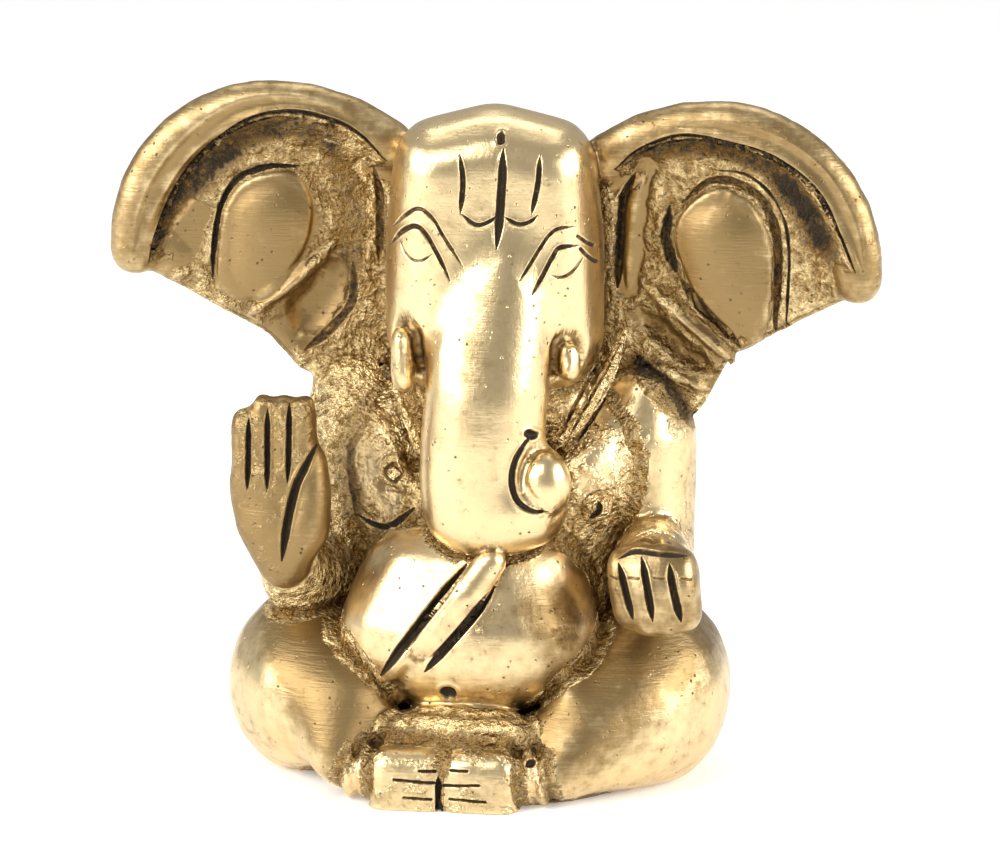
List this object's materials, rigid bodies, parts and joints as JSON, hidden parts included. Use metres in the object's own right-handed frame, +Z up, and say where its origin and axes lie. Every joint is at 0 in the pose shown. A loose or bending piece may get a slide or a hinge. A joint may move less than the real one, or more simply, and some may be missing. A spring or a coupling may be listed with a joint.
{
  "type": "seated elephant-headed deity figurine",
  "caption": "Small solid cast brass figurine of a seated elephant-headed deity with wide ears, a curled trunk, a raised right hand and crossed legs.",
  "frame": {"origin": "bottom centre of the figure's bounding box, on the surface that it stands on", "axes": "+X towards the figure's own left ear, -Y out of the face, +Z up"},
  "size_m": [0.0644, 0.0294, 0.0574],
  "materials": {
    "brass_polished": "hand filed and rubbed satin brass, dark patina left in the grooves and pits",
    "brass_as_cast": "rough as-cast brass skin, deep gold with brown and black patina in the hollows"
  },
  "bodies": {
    "root": {"lap": "brass_as_cast", "torso": "brass_as_cast", "belly": "brass_polished", "sash": "brass_polished", "right_chest_ring": "brass_polished", "left_chest_ring": "brass_polished", "neck_scarf": "brass_as_cast", "head": "brass_polished", "head_cap": "brass_as_cast", "right_tusk": "brass_polished", "left_tusk": "brass_polished", "trunk": "brass_polished", "trunk_tip": "brass_polished", "right_ear": "brass_as_cast", "right_ear_rim": "brass_polished", "right_ear_lobe": "brass_polished", "left_ear": "brass_as_cast", "left_ear_rim": "brass_polished", "left_ear_lobe": "brass_polished", "right_upper_arm": "brass_as_cast", "right_forearm": "brass_as_cast", "right_palm": "brass_polished", "right_thumb": "brass_polished", "right_fingers": "brass_polished", "left_upper_arm": "brass_polished", "left_forearm": "brass_polished", "left_fist": "brass_polished", "left_fingers": "brass_polished", "right_leg": "brass_polished", "left_leg": "brass_polished", "right_anklet": "brass_polished", "left_anklet": "brass_polished", "right_foot": "brass_polished", "left_foot": "brass_polished"}
  },
  "joints": []
}
